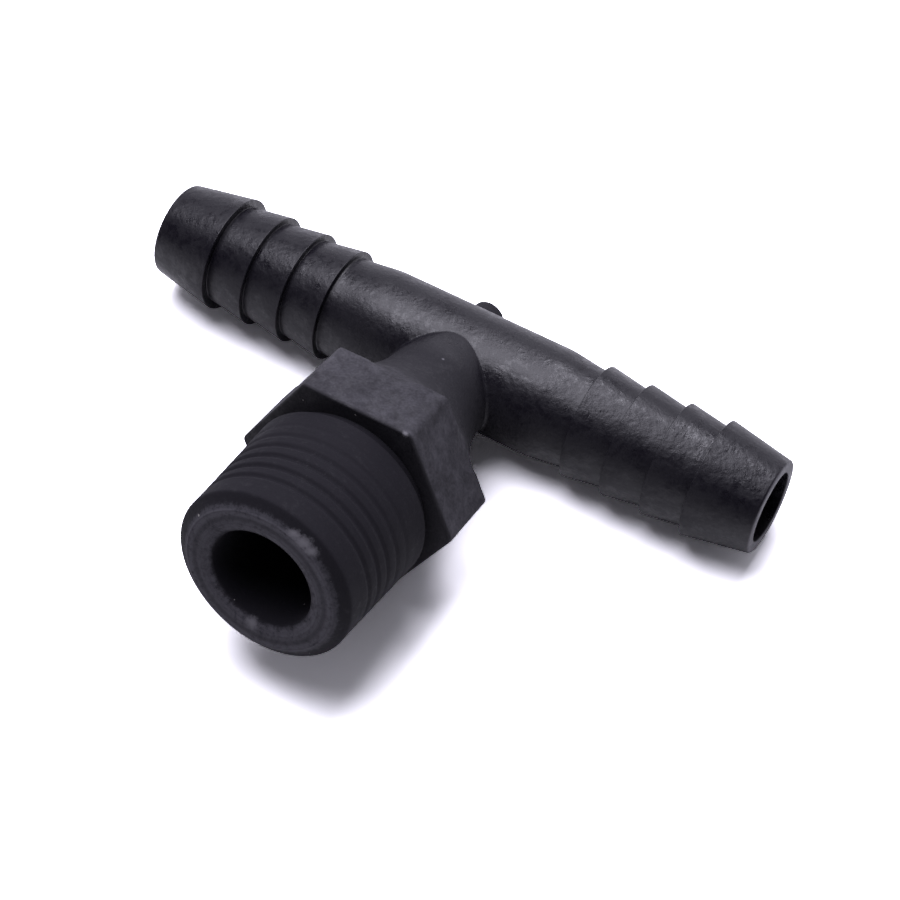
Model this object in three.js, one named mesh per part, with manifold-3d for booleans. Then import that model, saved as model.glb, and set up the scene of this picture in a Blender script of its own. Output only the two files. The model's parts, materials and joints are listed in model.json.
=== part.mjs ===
// Barbed tee connector with a taper-threaded branch, an irrigation fitting moulded in one shot.
//
// The run, with a hose barb at each end, lies along X. The threaded branch points along -Y from the
// middle of the run, and distances along it are counted from the run's axis. The moulding is built as
// its functional sections, which meet on flat planes. At the end it is laid down as it comes to rest:
// on the back edge of the wrench hex and on the barbs, with its lowest point at z = 0 and the middle
// of its footprint at the origin.
import * as THREE from "three";
import { mergeVertices } from "three/addons/utils/BufferGeometryUtils.js";
import Module from "manifold-3d";

const wasm = await Module();
wasm.setup();

// Driving dimensions, in millimetres.

// Hose ends
const HOSE_BORE_RADIUS = 3.3;
const HOSE_WALL = 1.45; // at the foot of every barb
const BARB_HEIGHT = 0.6;
const BARB_PITCH = 3.95;
const BARB_EDGE = 0.15; // small slope that takes the sharpness off each crest
const BARBS_PER_END = 4;
const TIP_BARB_EXTRA_HEIGHT = 0.15;
const TIP_BARB_LENGTH = 6.15;
const TIP_WALL = 1.1;
const TIP_EDGE = 0.25; // rounding of the leading edge of each hose end

// Middle of the run
const CENTRE_EXTRA_WALL = 0.4;
const CENTRE_SHOULDER = 3.1; // plain tube each side of the neck
const SHANK_LENGTH = 4.55;

// Neck between the run and the hex
const NECK_RADIUS = 5.1; // where the flare starts
const NECK_ROOT_RADIUS = 4.5; // where the neck, drawn on, would reach the run's axis
const NECK_LAND = 0.35; // from the run's surface to the plane where the flare starts
const FLARE_LENGTH = 8.8;
const FLARE_SHAPE = 1.8; // exponent: 1 would be a straight cone
const FLARE_LIP = 0.1; // flat left between the flare and the middle of each hex side

// Wrench hex
const HEX_ACROSS_FLATS = 18.0;
const HEX_THICKNESS = 6.2;

// Threaded spigot
const THREAD_START_RADIUS = 8.55; // crest radius beside the relief groove
const THREAD_TAPER = 1 / 32; // loss of radius per length: one in sixteen on the diameter
const THREAD_PITCH = 1.411;
const THREAD_DEPTH = 0.5;
const THREAD_LENGTH = 10.2;
const THREAD_RUN_IN = 1.6; // length over which the groove deepens at the nose
const THREAD_RUN_OUT = 7.0; // length over which the groove dies away towards the hex
const RELIEF_LENGTH = 1.25;
const RELIEF_DEPTH = 0.8;
const NOSE_LENGTH = 2.0;
const NOSE_CHAMFER_LENGTH = 0.9;
const NOSE_CHAMFER_DEPTH = 1.3;
const MOUTH_BORE_RADIUS = 4.7;
const MOUTH_EDGE_WIDTH = 0.9; // chamfer round the mouth of the branch
const MOUTH_EDGE_DEPTH = 0.35;
const MOUTH_CONE_LENGTH = 2.0; // cone from the mouth bore down to the throat
const THROAT_RADIUS = 3.0;

// Gate stub, where the moulding was cut from its runner
const GATE_RADIUS = 1.6;
const GATE_OFFSET = -1.4; // along the run, from its middle
const GATE_LAND = 0.15; // from the run's surface to the stub's own plane
const GATE_LENGTH = 1.95;
const GATE_EDGE = 0.2;

const ROUND_SEGMENTS = 40;
const CURVE_STEPS = 5;
const CUT_MARGIN = 1.0; // how far a cutting tool runs past the face it leaves through
const WELD = 1e-4;

// The thread's form over one pitch, as shares of the pitch and of the depth of the groove.
const THREAD_FORM = [
  { along: 0.0, groove: 1 },
  { along: 0.15, groove: 1 },
  { along: 0.5, groove: 0 },
  { along: 0.65, groove: 0 },
];

// Sizes that follow from the driving dimensions.
const BARB_FOOT_RADIUS = HOSE_BORE_RADIUS + HOSE_WALL;
const BARB_CREST_RADIUS = BARB_FOOT_RADIUS + BARB_HEIGHT;
const TIP_CREST_RADIUS = BARB_CREST_RADIUS + TIP_BARB_EXTRA_HEIGHT;
const TIP_RADIUS = HOSE_BORE_RADIUS + TIP_WALL;
const CENTRE_RADIUS = BARB_FOOT_RADIUS + CENTRE_EXTRA_WALL;
const CENTRE_HALF_LENGTH = NECK_RADIUS + CENTRE_SHOULDER;
const FIRST_BARB = CENTRE_HALF_LENGTH + SHANK_LENGTH;

const FLARE_START = CENTRE_RADIUS + NECK_LAND;
const HEX_BACK = FLARE_START + FLARE_LENGTH;
const HEX_FRONT = HEX_BACK + HEX_THICKNESS;
const HEX_APOTHEM = HEX_ACROSS_FLATS / 2;
const FLARE_END_RADIUS = HEX_APOTHEM - FLARE_LIP;
const THREAD_START = HEX_FRONT + RELIEF_LENGTH;
const THREAD_END = THREAD_START + THREAD_LENGTH;
const BRANCH_END = THREAD_END + NOSE_LENGTH;
const NOSE_RADIUS = crestRadius(THREAD_END);
const MOUTH_CONE_START = HEX_BACK + MOUTH_CONE_LENGTH;
const GATE_PLANE = CENTRE_RADIUS + GATE_LAND;

function crestRadius(along) {
  return THREAD_START_RADIUS - THREAD_TAPER * (along - THREAD_START);
}

// Radius of the neck where it flares towards the hex.
function flareRadius(along) {
  const share = (along - FLARE_START) / FLARE_LENGTH;
  return THREE.MathUtils.lerp(NECK_RADIUS, FLARE_END_RADIUS, share ** FLARE_SHAPE);
}

// Radius of the shank: an S-shaped fall from the middle of the run to the foot of the first barb.
function shankRadius(along) {
  const share = (along - CENTRE_HALF_LENGTH) / SHANK_LENGTH;
  const fall = THREE.MathUtils.smoothstep(share, 0, 1);
  return THREE.MathUtils.lerp(CENTRE_RADIUS, BARB_FOOT_RADIUS, fall);
}

// Evenly spaced profile points { along, radius } from one place to another.
function curve(from, to, radiusAt) {
  return Array.from({ length: CURVE_STEPS + 1 }, (_, step) => {
    const along = THREE.MathUtils.lerp(from, to, step / CURVE_STEPS);
    return { along, radius: radiusAt(along) };
  });
}

// A ring or rod of revolution about Y, from a profile that closes on itself or runs axis to axis.
function revolved(profile) {
  const onAxis = profile[0].radius === 0;
  const loop = onAxis ? profile : [...profile, profile[0]];
  const points = loop.map(({ along, radius }) => new THREE.Vector2(radius, along));
  const facesOut = THREE.ShapeUtils.area(points) > 0;
  return new THREE.LatheGeometry(facesOut ? points : points.reverse(), ROUND_SEGMENTS);
}

// The same about the run's axis, with along counted towards +X.
function aboutRun(profile) {
  return revolved(profile).rotateZ(-Math.PI / 2);
}

// The same about the branch's axis, with along counted towards -Y.
function aboutBranch(profile) {
  return revolved(profile.map(({ along, radius }) => ({ along: -along, radius })));
}

function rod(from, to, radius, endRadius = radius) {
  return [
    { along: from, radius: 0 },
    { along: from, radius },
    { along: to, radius: endRadius },
    { along: to, radius: 0 },
  ];
}

// A closed geometry as a solid that can be joined and cut, and back again.
function solid(geometry) {
  const bare = new THREE.BufferGeometry();
  bare.setAttribute("position", geometry.getAttribute("position"));
  bare.setIndex(geometry.index);
  const welded = mergeVertices(bare, WELD);
  const vertProperties = welded.getAttribute("position").array;
  const triVerts = new Uint32Array(welded.index.array);
  return new wasm.Manifold(new wasm.Mesh({ numProp: 3, vertProperties, triVerts }));
}

function geometryOf(shape) {
  const mesh = shape.getMesh();
  const geometry = new THREE.BufferGeometry();
  geometry.setAttribute("position", new THREE.BufferAttribute(mesh.vertProperties, 3));
  geometry.setIndex(new THREE.BufferAttribute(mesh.triVerts, 1));
  geometry.computeVertexNormals();
  return geometry;
}

// Middle of the run, with the root of the neck in front, the root of the gate stub behind and the two
// passages meeting inside.
function teeJunction() {
  const past = CENTRE_HALF_LENGTH + CUT_MARGIN;
  const tube = rod(-CENTRE_HALF_LENGTH, CENTRE_HALF_LENGTH, CENTRE_RADIUS);
  const neckRoot = rod(0, FLARE_START, NECK_ROOT_RADIUS, NECK_RADIUS);
  const gateRoot = rod(-GATE_PLANE, 0, GATE_RADIUS);
  const runBore = rod(-past, past, HOSE_BORE_RADIUS);
  const throat = rod(0, FLARE_START + CUT_MARGIN, THROAT_RADIUS);
  const shape = solid(aboutRun(tube))
    .add(solid(aboutBranch(neckRoot)))
    .add(solid(aboutBranch(gateRoot).translate(GATE_OFFSET, 0, 0)))
    .subtract(solid(aboutRun(runBore)))
    .subtract(solid(aboutBranch(throat)));
  return geometryOf(shape);
}

function shank() {
  return aboutRun([
    ...curve(CENTRE_HALF_LENGTH, FIRST_BARB, shankRadius),
    { along: FIRST_BARB, radius: HOSE_BORE_RADIUS },
    { along: CENTRE_HALF_LENGTH, radius: HOSE_BORE_RADIUS },
  ]);
}

// Barb number 1 is the one at the tip, which the hose meets first.
function barb(number) {
  const isTip = number === 1;
  const back = FIRST_BARB + (BARBS_PER_END - number) * BARB_PITCH;
  const front = back + (isTip ? TIP_BARB_LENGTH : BARB_PITCH);
  const crest = isTip ? TIP_CREST_RADIUS : BARB_CREST_RADIUS;
  const leadingEdge = [
    { along: front - TIP_EDGE, radius: TIP_RADIUS },
    { along: front, radius: TIP_RADIUS - TIP_EDGE },
  ];
  const foot = [{ along: front, radius: BARB_FOOT_RADIUS }];
  return aboutRun([
    { along: back, radius: crest - BARB_EDGE },
    { along: back + BARB_EDGE, radius: crest },
    ...(isTip ? leadingEdge : foot),
    { along: front, radius: HOSE_BORE_RADIUS },
    { along: back, radius: HOSE_BORE_RADIUS },
  ]);
}

function branchNeck() {
  return aboutBranch([
    ...curve(FLARE_START, HEX_BACK, flareRadius),
    { along: HEX_BACK, radius: THROAT_RADIUS },
    { along: FLARE_START, radius: THROAT_RADIUS },
  ]);
}

// The hex has a flat on top and one below, and a corner at each end.
function wrenchHex() {
  const corner = HEX_APOTHEM / Math.cos(Math.PI / 6);
  const outline = Array.from({ length: 6 }, (_, side) => {
    const turn = (side * Math.PI) / 3;
    return new THREE.Vector2(corner * Math.cos(turn), corner * Math.sin(turn));
  });
  const prism = new THREE.ExtrudeGeometry(new THREE.Shape(outline), {
    depth: HEX_THICKNESS,
    bevelEnabled: false,
  });
  prism.rotateX(Math.PI / 2).translate(0, -HEX_BACK, 0);
  const bore = aboutBranch([
    { along: HEX_BACK - CUT_MARGIN, radius: 0 },
    { along: HEX_BACK - CUT_MARGIN, radius: THROAT_RADIUS },
    { along: HEX_BACK, radius: THROAT_RADIUS },
    { along: MOUTH_CONE_START, radius: MOUTH_BORE_RADIUS },
    { along: HEX_FRONT + CUT_MARGIN, radius: MOUTH_BORE_RADIUS },
    { along: HEX_FRONT + CUT_MARGIN, radius: 0 },
  ]);
  return geometryOf(solid(prism).subtract(solid(bore)));
}

function threadRelief() {
  const radius = THREAD_START_RADIUS - RELIEF_DEPTH;
  return aboutBranch([
    { along: HEX_FRONT, radius },
    { along: THREAD_START, radius },
    { along: THREAD_START, radius: MOUTH_BORE_RADIUS },
    { along: HEX_FRONT, radius: MOUTH_BORE_RADIUS },
  ]);
}

// How deep the groove is cut, as a share of its full depth: it starts shallow at both ends.
function grooveShare(along) {
  const fromHex = THREE.MathUtils.smoothstep(along, THREAD_START, THREAD_START + THREAD_RUN_OUT);
  const fromNose = THREE.MathUtils.smoothstep(THREAD_END - along, 0, THREAD_RUN_IN);
  return fromHex * fromNose;
}

// Share of the groove at a place along the thread's form, counted in pitches.
function formAt(pitches) {
  const share = THREE.MathUtils.euclideanModulo(pitches, 1);
  const form = [...THREAD_FORM, { along: 1, groove: THREAD_FORM[0].groove }];
  const next = form.findIndex(({ along }) => along > share);
  const before = form[next - 1];
  const part = (share - before.along) / (form[next].along - before.along);
  return THREE.MathUtils.lerp(before.groove, form[next].groove, part);
}

// Right-hand taper thread as one closed sleeve. The rows of the outer surface follow the helix and
// stop dead at the two end planes, so row by row they join up one pitch further on after each turn.
function threadedSpigot() {
  const positions = [];
  const index = [];
  const known = new Map();
  const turns = Math.ceil(THREAD_LENGTH / THREAD_PITCH) + 1;
  const rows = turns * THREAD_FORM.length;

  function vertex(along, radius, column) {
    const turn = (column / ROUND_SEGMENTS) * 2 * Math.PI;
    const place = [radius * Math.cos(turn), -along, radius * Math.sin(turn)];
    const key = place.map((value) => Math.round(value / WELD)).join();
    if (!known.has(key)) {
      known.set(key, known.size);
      positions.push(...place);
    }
    return known.get(key);
  }

  function outer(row, column) {
    const { along: share } = THREAD_FORM[row % THREAD_FORM.length];
    const helix = Math.floor(row / THREAD_FORM.length) + share + column / ROUND_SEGMENTS - 1;
    const free = THREAD_START + helix * THREAD_PITCH;
    const along = THREE.MathUtils.clamp(free, THREAD_START, THREAD_END);
    const pitches = (along - THREAD_START) / THREAD_PITCH - column / ROUND_SEGMENTS;
    const groove = THREAD_DEPTH * grooveShare(along) * formAt(pitches);
    return vertex(along, crestRadius(along) - groove, column);
  }

  function quad(a, b, c, d) {
    for (const corners of [[a, b, c], [a, c, d]]) {
      if (new Set(corners).size === corners.length) index.push(...corners);
    }
  }

  for (let column = 0; column < ROUND_SEGMENTS; column++) {
    const next = column + 1;
    for (let row = 0; row < rows; row++) {
      quad(outer(row, column), outer(row, next), outer(row + 1, next), outer(row + 1, column));
    }
    const [hexIn, hexInNext] = [column, next].map((at) => vertex(THREAD_START, MOUTH_BORE_RADIUS, at));
    const [noseIn, noseInNext] = [column, next].map((at) => vertex(THREAD_END, MOUTH_BORE_RADIUS, at));
    quad(hexIn, hexInNext, outer(0, next), outer(0, column));
    quad(outer(rows, column), outer(rows, next), noseInNext, noseIn);
    quad(noseIn, noseInNext, hexInNext, hexIn);
  }
  const geometry = new THREE.BufferGeometry();
  geometry.setAttribute("position", new THREE.Float32BufferAttribute(positions, 3));
  geometry.setIndex(index);
  geometry.computeVertexNormals();
  return geometry;
}

function spigotNose() {
  return aboutBranch([
    { along: THREAD_END, radius: NOSE_RADIUS },
    { along: BRANCH_END - NOSE_CHAMFER_LENGTH, radius: NOSE_RADIUS },
    { along: BRANCH_END, radius: NOSE_RADIUS - NOSE_CHAMFER_DEPTH },
    { along: BRANCH_END, radius: MOUTH_BORE_RADIUS + MOUTH_EDGE_WIDTH },
    { along: BRANCH_END - MOUTH_EDGE_DEPTH, radius: MOUTH_BORE_RADIUS },
    { along: THREAD_END, radius: MOUTH_BORE_RADIUS },
  ]);
}

function gateStub() {
  const end = GATE_PLANE + GATE_LENGTH;
  const stub = aboutBranch([
    { along: -GATE_PLANE, radius: 0 },
    { along: -GATE_PLANE, radius: GATE_RADIUS },
    { along: GATE_EDGE - end, radius: GATE_RADIUS },
    { along: -end, radius: GATE_RADIUS - GATE_EDGE },
    { along: -end, radius: 0 },
  ]);
  return stub.translate(GATE_OFFSET, 0, 0);
}

// Angle by which the branch end lifts when the hex's lower back edge and the barbs touch the ground.
function restTilt() {
  const edgeBelow = Math.atan2(HEX_APOTHEM, HEX_BACK);
  const grazing = Math.asin(TIP_CREST_RADIUS / Math.hypot(HEX_APOTHEM, HEX_BACK));
  return edgeBelow - grazing;
}

const fitting = new THREE.Group();

function addSection(name, geometry, turn = 0) {
  const material = new THREE.MeshStandardMaterial({ color: 0x2a2a2d, roughness: 0.5, metalness: 0 });
  const mesh = new THREE.Mesh(geometry, material);
  mesh.name = name;
  mesh.rotation.z = turn;
  fitting.add(mesh);
}

addSection("tee_junction", teeJunction());
for (const [side, turn] of [["right", 0], ["left", Math.PI]]) {
  addSection(`${side}_shank`, shank(), turn);
  for (let number = 1; number <= BARBS_PER_END; number++) {
    addSection(`${side}_barb_${number}`, barb(number), turn);
  }
}
addSection("branch_neck", branchNeck());
addSection("wrench_hex", wrenchHex());
addSection("thread_relief", threadRelief());
addSection("threaded_spigot", threadedSpigot());
addSection("spigot_nose", spigotNose());
addSection("gate_stub", gateStub());

fitting.rotation.x = -restTilt();
const extent = new THREE.Box3().setFromObject(fitting, true);
const footprint = extent.getCenter(new THREE.Vector3());
fitting.position.set(-footprint.x, -footprint.y, -extent.min.z);

const group = new THREE.Group();
group.name = "barbed_tee_connector";
group.add(fitting);

export default group;
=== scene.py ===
"""Moulded surfaces, black plastic and stage for a barbed tee connector.

The fitting has its own frame: the run lies along X and the threaded branch points along -Y. Every
piece is made in that frame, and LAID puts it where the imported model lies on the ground.
"""

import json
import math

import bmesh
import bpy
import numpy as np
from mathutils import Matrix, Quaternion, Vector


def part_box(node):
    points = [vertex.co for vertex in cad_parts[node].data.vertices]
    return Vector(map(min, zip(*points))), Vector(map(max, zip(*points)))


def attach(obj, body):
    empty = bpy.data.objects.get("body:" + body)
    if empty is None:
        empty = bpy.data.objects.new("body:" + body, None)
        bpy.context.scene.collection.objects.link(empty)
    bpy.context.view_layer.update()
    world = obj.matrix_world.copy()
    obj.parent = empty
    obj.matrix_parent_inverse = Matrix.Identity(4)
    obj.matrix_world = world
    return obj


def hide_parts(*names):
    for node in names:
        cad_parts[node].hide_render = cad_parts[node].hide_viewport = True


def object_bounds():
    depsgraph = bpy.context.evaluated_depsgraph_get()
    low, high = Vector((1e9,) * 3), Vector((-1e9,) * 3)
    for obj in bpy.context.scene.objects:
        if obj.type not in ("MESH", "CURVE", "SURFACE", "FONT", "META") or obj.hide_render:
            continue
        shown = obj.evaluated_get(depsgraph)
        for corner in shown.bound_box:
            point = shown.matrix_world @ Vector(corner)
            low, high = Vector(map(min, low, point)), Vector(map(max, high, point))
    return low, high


bl_info = {
    "name": "Barbed tee connector",
    "version": (1, 0, 0),
    "blender": (4, 5, 0),
    "location": "3D View > Sidebar > Fitting",
    "description": "Builds the finished surfaces, plastic, stage and camera of a barbed tee connector",
    "category": "Add Mesh",
}

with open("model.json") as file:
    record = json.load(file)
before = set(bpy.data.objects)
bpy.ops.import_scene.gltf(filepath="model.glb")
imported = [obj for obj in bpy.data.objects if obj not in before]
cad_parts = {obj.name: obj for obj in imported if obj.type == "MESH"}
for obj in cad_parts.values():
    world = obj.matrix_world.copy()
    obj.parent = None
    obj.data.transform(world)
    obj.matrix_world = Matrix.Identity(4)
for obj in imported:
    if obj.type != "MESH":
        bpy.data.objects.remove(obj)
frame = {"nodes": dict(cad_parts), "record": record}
CAD_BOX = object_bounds()

BODY = "root"
MM = 0.001
WELD = 1e-8  # points closer than this are one point, in metres
HALF_FLAT = math.pi / 6  # turn from the middle of a hex flat to its corner
CREASE_ANGLE = math.radians(50)  # edges sharper than this aren't shaded smooth

# ------------------------------------------------------------
# The frame: where the fitting lies, and the sizes of its sections
# ------------------------------------------------------------


def laid_matrix():
    """The fitting's own frame, as it lies on the ground."""
    low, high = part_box("right_barb_1")
    run_centre = Vector((0, (low.y + high.y) / 2, (low.z + high.z) / 2))
    branch = next(m["axis"] for m in frame["record"]["mounts"] if m["name"] == "spigot_end")
    tilt = math.atan2(-branch[2], -branch[1])
    return Matrix.Translation(run_centre) @ Matrix.Rotation(tilt, 4, "X")


LAID = laid_matrix()


def own_points(node):
    """A CAD node's points in the fitting's own frame."""
    stand_up = LAID.inverted()
    return [stand_up @ vertex.co for vertex in frame["nodes"][node].data.vertices]


class Section:
    """The rings of one CAD section, read from its points: distance along its axis and radii."""

    def __init__(self, node, on_run, offset=0.0):
        self.rings = {}
        for place in own_points(node):
            along = abs(place.x) if on_run else -place.y
            across = place.y if on_run else place.x - offset
            radius = math.hypot(across, place.z)
            ring = self.rings.setdefault(round(along, 5), [radius, radius])
            ring[0] = min(ring[0], radius)
            ring[1] = max(ring[1], radius)
        self.start = min(self.rings)
        self.end = max(self.rings)
        self.bore = min(ring[0] for ring in self.rings.values())
        self.widest = max(ring[1] for ring in self.rings.values())

    def inner(self, along):
        return self.rings[along][0]

    def outer(self, along):
        return self.rings[along][1]


JUNCTION = Section("tee_junction", on_run=True)
SHANK = Section("right_shank", on_run=True)
NECK = Section("branch_neck", on_run=False)
HEX = Section("wrench_hex", on_run=False)
RELIEF = Section("thread_relief", on_run=False)
THREAD = Section("threaded_spigot", on_run=False)
NOSE = Section("spigot_nose", on_run=False)

gate_xs = [place.x for place in own_points("gate_stub")]
GATE_OFFSET = (min(gate_xs) + max(gate_xs)) / 2
GATE = Section("gate_stub", on_run=False, offset=GATE_OFFSET)

BARBS_PER_END = sum(name.startswith("right_barb_") for name in frame["nodes"])
RUN_RADIUS = SHANK.outer(SHANK.start)
RUN_END = CAD_BOX[1].x
HEX_APOTHEM = HEX.widest * math.cos(HALF_FLAT)

# ------------------------------------------------------------
# Sizes and colours that a user may change
# ------------------------------------------------------------


def length(name, description, millimetres):
    return bpy.props.FloatProperty(
        name=name, description=description, default=millimetres * MM, unit="LENGTH", precision=5
    )


def share(name, description, default):
    return bpy.props.FloatProperty(
        name=name, description=description, default=default, subtype="FACTOR", min=0, max=1
    )


def number(name, description, default):
    return bpy.props.FloatProperty(name=name, description=description, default=default)


def colour(name, description, default):
    return bpy.props.FloatVectorProperty(
        name=name, description=description, default=default, subtype="COLOR", min=0, max=1
    )


def angle(name, description, degrees):
    return bpy.props.FloatProperty(
        name=name, description=description, default=math.radians(degrees), subtype="ANGLE"
    )


class RunSizes(bpy.types.PropertyGroup):
    crest_rounding: length("Barb crest rounding", "Radius on the sharp edge of each barb", 0.07)
    foot_rounding: length("Barb foot rounding", "Radius where a barb meets the next one's step", 0.04)
    tip_rounding: length("Tip rounding", "Radius on the outer edge of each hose end", 0.28)
    mouth_rounding: length("Bore edge rounding", "Radius on the edge of the run's bore", 0.12)
    crease_rounding: length("Neck crease", "Radius in the crease between the run and the neck", 0.3)
    steps_round: bpy.props.IntProperty(
        name="Steps round the run", description="Facets round each hose end", default=128
    )


class BranchSizes(bpy.types.PropertyGroup):
    flare_shape: number("Flare shape", "Exponent of the neck's flare; 1 is a straight cone", 1.8)
    hex_blend: length("Hex blend", "Length over which the flare melts into the middle of a flat", 1.8)
    hex_blend_rise: length("Hex blend rise", "Height above the flat's middle where it ends", 0.35)
    hex_corner: length("Hex corner rounding", "Radius on the hex's six long corners", 0.6)
    hex_edge: length("Hex edge rounding", "Radius on the edges of the hex's two faces", 0.2)
    shoulder_rounding: length("Shoulder rounding", "Radius on the last thread's outer edge", 0.12)
    groove_fillet: length("Relief fillet", "Radius in the corners of the relief groove", 0.15)
    nose_rounding: length("Nose rounding", "Radius between the nose and its chamfer", 0.35)
    face_rounding: length("End face rounding", "Radius round the spigot's end face", 0.12)
    mouth_rounding: length("Mouth rounding", "Radius on the edges of the mouth's chamfer", 0.3)


class ThreadSizes(bpy.types.PropertyGroup):
    pitch: length("Pitch", "Distance from one thread to the next", 1.411)
    depth: length("Depth", "Depth of the full groove", 0.3)
    run_in: length("Run-in", "Length over which the groove deepens behind the nose", 1.6)
    run_out: length("Run-out", "Length over which the groove dies away towards the hex", 7.0)
    crest_flat: share("Crest flat", "Share of the pitch that is flat at the crest", 0.45)
    root_flat: share("Root flat", "Share of the pitch that is flat at the root", 0.05)
    wear: share("Wear", "Share of the groove's depth that is gone on the right", 0.5)
    rows_per_turn: bpy.props.IntProperty(
        name="Rows per turn", description="Rows of faces across one thread", default=14
    )


class FinishSettings(bpy.types.PropertyGroup):
    dark: colour("Dark tone", "Colour of the clean plastic", (0.0058, 0.0049, 0.0088))
    # The pale tone also paints a reflection of the bright floor on the run's end faces.
    pale: colour("Pale tone", "Colour of chalky plastic", (0.085, 0.082, 0.095))
    speck: colour("Speck", "Colour of dust specks", (0.30, 0.29, 0.28))
    # The scuff colour paints the scuffs, and also a painted glint on the neck and a painted highlight
    # below the spigot's mouth.
    scuff_and_glint: colour("Scuff", "Colour of the scuffs on the edges", (0.16, 0.155, 0.17))


class StageSettings(bpy.types.PropertyGroup):
    floor: colour("Floor", "Colour of the floor", (0.92, 0.92, 0.92))
    floor_gain: number("Floor gain", "How much brighter the camera sees the floor", 3.0)
    tint: colour("Light tint", "Colour of all the light", (0.90, 0.88, 1.0))
    front: number("Front of room", "Brightness of the room behind the camera", 0.06)
    back: number("Back of room", "Brightness of the room behind the fitting", 0.85)
    upper_fall: share("Upper fall", "How much darker the upper part of the room's back is", 0.75)
    key: number("Overhead light", "Power of the overhead panel, in watts", 2.3)
    key_width: length("Overhead width", "Width of the overhead panel", 320)
    key_length: length("Overhead length", "Length of the overhead panel, front to back", 360)
    key_turn: angle("Overhead turn", "Turn of the overhead panel about its line of sight", -14)
    fill: number("Rear light", "Power of the panel above and behind, in watts", 0.95)
    fill_width: length("Rear width", "Width of the rear panel", 140)
    fill_length: length("Rear length", "Length of the rear panel, front to back", 240)
    azimuth: angle("Camera azimuth", "Compass direction of the camera, 0 in front", 29.73)
    elevation: angle("Camera elevation", "Height of the camera above the horizon", 54.22)
    roll: angle("Camera roll", "Turn of the camera about its line of sight", 1.0)
    distance: length("Camera distance", "From the camera to the point it looks at", 215.98)
    lens: number("Lens", "Focal length on a 36 mm sensor, in millimetres", 99.94)


SETTINGS = {
    "run_sizes": RunSizes,
    "branch_sizes": BranchSizes,
    "thread_sizes": ThreadSizes,
    "finish": FinishSettings,
    "stage_settings": StageSettings,
}

# ------------------------------------------------------------
# Profiles and skins
# ------------------------------------------------------------

ARC_STEPS = 5


def rounded(corners):
    """Points of an outline whose corners are (along, radius, rounding); rounding 0 stays sharp."""
    places = [np.array(corner[:2], float) for corner in corners]
    points = []
    for i, (_, _, rounding) in enumerate(corners):
        here = places[i]
        before = places[i - 1] - here
        after = places[(i + 1) % len(corners)] - here
        reach = min(np.linalg.norm(before), np.linalg.norm(after)) * 0.49
        if not rounding or reach < WELD:
            points.append(here)
            continue
        before = before / np.linalg.norm(before)
        after = after / np.linalg.norm(after)
        half = math.acos(float(np.clip(before @ after, -1, 1))) / 2
        tangent = min(rounding / math.tan(half), reach)
        for step in range(ARC_STEPS + 1):
            points.append(arc_point(here, before, after, tangent, half, step / ARC_STEPS))
    return points


def arc_point(corner, before, after, tangent, half, part):
    """A point on the arc that rounds a corner, from part 0 on one side to 1 on the other."""
    bisector = (before + after) / np.linalg.norm(before + after)
    centre = corner + bisector * tangent / math.cos(half)
    radius = tangent * math.tan(half)
    start = (corner + before * tangent - centre) / radius
    end = (corner + after * tangent - centre) / radius
    sweep = math.acos(float(np.clip(start @ end, -1, 1)))
    turn = (math.sin((1 - part) * sweep) * start + math.sin(part * sweep) * end) / math.sin(sweep)
    return centre + turn * radius


def soft_step(value):
    """Value kept between 0 and 1, easing in and out."""
    value = min(1.0, max(0.0, value))
    return value * value * (3 - 2 * value)


def mixed(first, second, part):
    """The point that lies the given part of the way from first to second."""
    return tuple(a + (b - a) * part for a, b in zip(first, second))


def place_on_run(along, radius, turn):
    return (along, -radius * math.cos(turn), radius * math.sin(turn))


def place_on_branch(along, radius, turn):
    return (radius * math.cos(turn), -along, radius * math.sin(turn))


def full_turn(steps):
    return [step / steps * math.tau for step in range(steps + 1)]


def revolved(profile, place, turns, side=1):
    """Grid of points of a profile turned about an axis; side -1 mirrors it to the other end."""
    return [[place(side * along, radius, turn) for turn in turns] for along, radius in profile]


def add_grid(mesh, grid, close_rows=False, keep=None):
    """Adds a grid of points and the faces between them, or only those in the columns to keep."""
    rows = [[mesh.verts.new(point) for point in row] for row in grid]
    for row in range(len(rows) - (not close_rows)):
        upper = rows[row]
        lower = rows[(row + 1) % len(rows)]
        for column in range(len(upper) - 1):
            if keep is not None and not keep[column]:
                continue
            mesh.faces.new((upper[column], upper[column + 1], lower[column + 1], lower[column]))


def finish_piece(mesh, name, nodes, material):
    """Turns a built surface into a piece that stands for its CAD nodes."""
    bmesh.ops.remove_doubles(mesh, verts=mesh.verts, dist=WELD)
    bmesh.ops.dissolve_degenerate(mesh, edges=mesh.edges, dist=WELD)
    bmesh.ops.recalc_face_normals(mesh, faces=mesh.faces)
    open_edges = sum(len(edge.link_faces) != 2 for edge in mesh.edges)
    if open_edges:
        raise RuntimeError(f"{name} isn't closed: {open_edges} of its edges lack a face")
    bmesh.ops.transform(mesh, matrix=LAID, verts=mesh.verts)
    data = bpy.data.meshes.new(name)
    mesh.to_mesh(data)
    mesh.free()
    data.shade_smooth()
    data.set_sharp_from_angle(angle=CREASE_ANGLE)
    data.materials.append(material)
    piece = bpy.data.objects.new(name, data)
    bpy.context.scene.collection.objects.link(piece)
    even = piece.modifiers.new("Even shading", "WEIGHTED_NORMAL")
    even.keep_sharp = True
    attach(piece, BODY)
    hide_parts(*nodes)
    return piece


# ------------------------------------------------------------
# Shader node groups and the plastic
# ------------------------------------------------------------


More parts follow.
